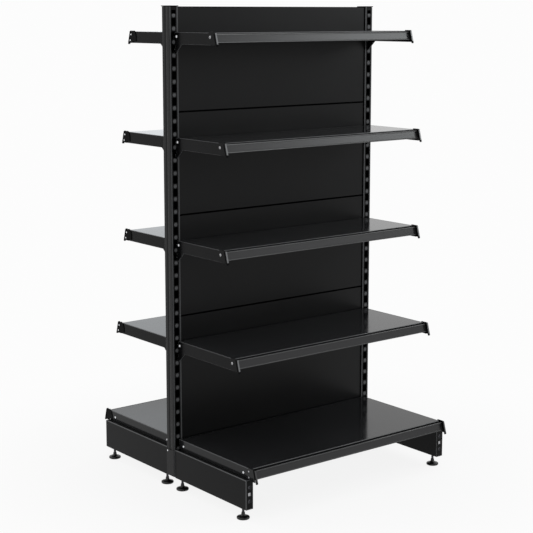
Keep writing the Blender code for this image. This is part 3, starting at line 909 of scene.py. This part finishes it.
def dress_shelf(side, level, materials, bolts):
    """One upper shelf: tray, two brackets, ticket strip, insert, web, bolts and rivets."""
    body = f"{side}_shelf_{level}"
    tray = f"{side}_tray_{level}"
    strip = f"{side}_ticket_strip_{level}"
    coated(tray, "tray", body, materials)
    for hand in HANDS:
        coated(f"{side}_bracket_{level}_{hand}", "bracket", body, materials)
    ticket_strip(strip, side, body, [materials[kind] for kind in ("strip", "end", "end_front", "bracket")])
    front = front_of(tray, side)
    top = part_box(tray)[1].z
    ticket_insert(f"{side}_ticket_insert_{level}", body, side, front, top, materials)
    strip_web(f"{side}_strip_web_{level}", body, side, front, top, materials)
    points = []
    for hand in HANDS:
        direction = hand_x(side, hand)
        bracket = f"{side}_bracket_{level}_{hand}"
        y = front_of("left_post", side) + SIDES[side] * SHELF_BOLT_REAR
        place = (outer_x(bracket, direction), y, top - SHELF_BOLT_DROP)
        points.append((place, (direction, 0.0, 0.0)))
    heads(f"{side}_shelf_{level}_bolts", bolts, BOLT, points, body, materials["zinc"])
    lap = strip_points(side, "left", strip, front, top, (LAP_BOLT_DROP,), LAP_BOLT_REACH)
    heads(f"{side}_shelf_{level}_lap_bolt", bolts, BOLT, lap, body, materials["tab"])
    rivets = strip_points(side, "right", strip, front, top, END_RIVET_DROPS, END_RIVET_REACH)
    heads(f"{side}_shelf_{level}_rivets", bolts, RIVET, rivets, body, materials["zinc"])


def dress_deck(side, materials, bolts):
    """One base deck with its ticket strip, insert, web, lip, bolts and rivets."""
    sign = SIDES[side]
    body = f"{side}_deck_unit"
    deck = f"{side}_deck"
    strip = f"{side}_deck_ticket_strip"
    coated(deck, "deck", body, materials)
    ticket_strip(strip, side, body, [materials[kind] for kind in ("strip", "end", "strip", "deck")])
    front = front_of(deck, side)
    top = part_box(deck)[1].z
    ticket_insert(f"{side}_deck_ticket_insert", body, side, front, top, materials)
    strip_web(f"{side}_deck_strip_web", body, side, front, top, materials)
    deck_shade_lip(f"{side}_deck_shade_lip", body, side, deck, materials)
    post_face = front_of("left_post", side)
    points = []
    for direction in (-1, 1):
        x = outer_x(deck, direction)
        for y in (post_face + sign * DECK_BOLT_REAR, front - sign * DECK_BOLT_FRONT):
            points.append(((x, y, top - DECK_BOLT_DROP), (direction, 0.0, 0.0)))
    heads(f"{side}_deck_bolts", bolts, BOLT, points, body, materials["zinc"])
    direction = hand_x(side, "left")
    x = outer_x(strip, direction)
    y = front - sign * LAP_RIVET_BACK
    rivets = [((x, y, top - drop), (direction, 0.0, 0.0)) for drop in LAP_RIVET_DROPS]
    heads(f"{side}_deck_rivets", bolts, RIVET, rivets, body, materials["tab"])


def turned(name, profile, steps):
    """A closed shape turned about Z from a profile of radius and height."""
    bm = bmesh.new()
    verts = [bm.verts.new((radius, 0.0, height)) for radius, height in profile]
    edges = [bm.edges.new(pair) for pair in zip(verts, verts[1:])]
    bmesh.ops.spin(
        bm, geom=verts + edges, cent=(0, 0, 0), axis=(0, 0, 1), angle=2 * pi, steps=steps, use_merge=False
    )
    bmesh.ops.remove_doubles(bm, verts=bm.verts, dist=MERGE)
    bmesh.ops.recalc_face_normals(bm, faces=bm.faces)
    mesh = bpy.data.meshes.new(name)
    bm.to_mesh(mesh)
    bm.free()
    mesh.shade_smooth()
    mesh.set_sharp_from_angle(angle=FOOT_SHARP)
    return mesh


def dress_foot(side, hand, end, materials, threads):
    """One levelling foot: a moulded pad with a flared neck, and its threaded stem."""
    node = f"{side}_{hand}_{end}_foot"
    body = node + "_unit"
    low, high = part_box(node)
    middle = (low + high) / 2
    pad_r = (high.x - low.x) / 2
    profile = (*FOOT_NECK, (pad_r, FOOT_RIM_Z), *FOOT_SOLE)
    mesh = turned(node + "_pad", profile, FOOT_STEPS)
    mesh.transform(Matrix.Translation((middle.x, middle.y, low.z)))
    finished(node + "_pad", mesh, body, [materials["foot"]], [node])
    bottom = low.z + STEM_FOOT
    length = high.z - bottom
    values = {
        "Radius": STEM_R,
        "Thread depth": THREAD_DEPTH,
        "Pitch": THREAD_PITCH,
        "Length": length,
        "Rows": int(length / THREAD_PITCH * ROWS_PER_TURN) + 3,
        "Material": materials["stem"],
    }
    base = ((middle.x, middle.y, bottom), (0.0, 0.0, 1.0))
    stem = grown(node + "_stem", threads, [base], values)
    finished(node + "_stem", stem, body, [materials["stem"]], [node])


def block(bm, low, high):
    """Add a block between two corners."""
    size = [b - a for a, b in zip(low, high)]
    middle = [(a + b) / 2 for a, b in zip(low, high)]
    bmesh.ops.create_cube(bm, size=1.0, matrix=Matrix.Translation(middle) @ Matrix.Diagonal((*size, 1.0)))


def dress_frame(materials, bolts):
    """Posts, caps, panels, legs, and the small fittings that stay with them."""
    shoe_points = []
    for hand, direction in HANDS.items():
        post = hand + "_post"
        coated_post(post, materials)
        coated(post + "_cap", "cap", "frame", materials)
        shoe_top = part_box(post)[0].z + SHOE_H
        place = (outer_x(post, direction), -direction * SHOE_RIVET_Y, shoe_top - SHOE_RIVET_DROP)
        shoe_points.append((place, (direction, 0.0, 0.0)))
    heads("shoe_rivets", bolts, RIVET, shoe_points, "frame", materials["zinc"])
    tabs = bmesh.new()
    toe_points = []
    for side, sign in SIDES.items():
        for index in PANELS:
            coated(f"{side}_panel_{index}", "panel", "frame", materials)
        for hand in HANDS:
            leg = f"{side}_{hand}_leg"
            coated(leg, "leg", "frame", materials)
            low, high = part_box(leg)
            x = (low.x + high.x) / 2
            toe = front_of(leg, side)
            half = TAB_SIZE / 2
            ends = sorted((toe - sign * LEG_WALL, toe - sign * (LEG_WALL + TAB_T)))
            block(tabs, (x - half, ends[0], TOE_MIDDLE - half), (x + half, ends[1], TOE_MIDDLE + half))
            for rise in (-TOE_BOLT_SPREAD, TOE_BOLT_SPREAD):
                place = (x, toe - sign * TOE_BOLT_SUNK, TOE_MIDDLE + rise)
                toe_points.append((place, (0.0, sign, 0.0)))
    bmesh.ops.bevel(tabs, geom=tabs.edges, offset=SMALL_EASE, segments=1, affect="EDGES")
    mesh = bpy.data.meshes.new("toe_tabs")
    tabs.to_mesh(mesh)
    tabs.free()
    finished("toe_tabs", mesh, "frame", [materials["tab"]])
    heads("toe_bolts", bolts, TOE_BOLT, toe_points, "frame", materials["stem"])


def seen_ray(net):
    """1 for rays that show the background: camera, glossy and transmission rays."""
    path = net.node("ShaderNodeLightPath")
    shown = net.math("MAXIMUM", path.outputs["Is Camera Ray"], path.outputs["Is Glossy Ray"])
    return net.math("MAXIMUM", shown, path.outputs["Is Transmission Ray"])


def make_studio():
    """A white floor that keeps a soft shadow, a white surround and four soft lamps."""
    world = bpy.data.worlds.new("studio_surround")
    bpy.context.scene.world = world
    world.use_nodes = True
    net = Net(world.node_tree)
    back = world.node_tree.nodes["Background"]
    back.inputs["Color"].default_value = (1.0, 1.0, 1.0, 1.0)
    net.feed(back.inputs["Strength"], net.spread(seen_ray(net), SURROUND_LIGHT, SURROUND))

    material = bpy.data.materials.new("studio_floor")
    material.use_nodes = True
    net = Net(material.node_tree)
    material.node_tree.nodes.remove(material.node_tree.nodes["Principled BSDF"])
    sheet = net.node("ShaderNodeBsdfDiffuse", {"Color": FLOOR_TONE})
    glow = net.node("ShaderNodeEmission", {"Color": (1.0, 1.0, 1.0, 1.0), "Strength": SURROUND})
    place = net.node("ShaderNodeTexCoord").outputs["Object"]
    away = net.node("ShaderNodeVectorMath", {0: place}, operation="LENGTH").outputs["Value"]
    white = net.spread(smooth_step(net, away, NEAR_FLOOR, FAR_FLOOR), NEAR_WHITE, FAR_WHITE)
    share = net.math("MULTIPLY", seen_ray(net), white)
    mixed = net.node("ShaderNodeMixShader", {0: share, 1: sheet.outputs[0], 2: glow.outputs[0]})
    net.feed(material.node_tree.nodes["Material Output"].inputs["Surface"], mixed.outputs[0])
    bm = bmesh.new()
    bmesh.ops.create_grid(bm, x_segments=2, y_segments=2, size=FLOOR_REACH)
    mesh = bpy.data.meshes.new("floor")
    bm.to_mesh(mesh)
    bm.free()
    mesh.materials.append(material)
    floor = bpy.data.objects.new("floor", mesh)
    bpy.context.scene.collection.objects.link(floor)

    for name, (place, target, size, power, tint) in SOFTBOXES.items():
        soft_lamp(name, place, target, size, power, tint)


def soft_lamp(name, place, target, size, power, tint):
    """A rectangular softbox aimed at a point."""
    lamp = bpy.data.lights.new(name, "AREA")
    lamp.shape = "RECTANGLE"
    lamp.size, lamp.size_y = size
    lamp.energy = power
    lamp.color = tint
    holder = bpy.data.objects.new(name, lamp)
    holder.location = place
    holder.rotation_euler = (Vector(target) - Vector(place)).to_track_quat("-Z", "Y").to_euler()
    bpy.context.scene.collection.objects.link(holder)


def make_camera():
    """The photograph's viewpoint."""
    data = bpy.data.cameras.new("camera")
    data.sensor_width = CAMERA_SENSOR
    data.lens = CAMERA_LENS
    data.shift_y = CAMERA_SHIFT_Y
    camera = bpy.data.objects.new("camera", data)
    camera.location = CAMERA_PLACE
    camera.rotation_euler = Euler((pi / 2 - CAMERA_PITCH, 0.0, -CAMERA_YAW))
    bpy.context.scene.collection.objects.link(camera)
    bpy.context.scene.camera = camera


def dress_bay():
    """Finish every piece of the bay."""
    materials = make_materials()
    bolts = fastener_tree()
    threads = thread_tree()
    dress_frame(materials, bolts)
    for side in SIDES:
        dress_deck(side, materials, bolts)
        for level in LEVELS:
            dress_shelf(side, level, materials, bolts)
        for hand in HANDS:
            for end in FOOT_ENDS:
                dress_foot(side, hand, end, materials, threads)


dress_bay()
make_studio()
make_camera()
bpy.context.scene.view_settings.view_transform = "Standard"
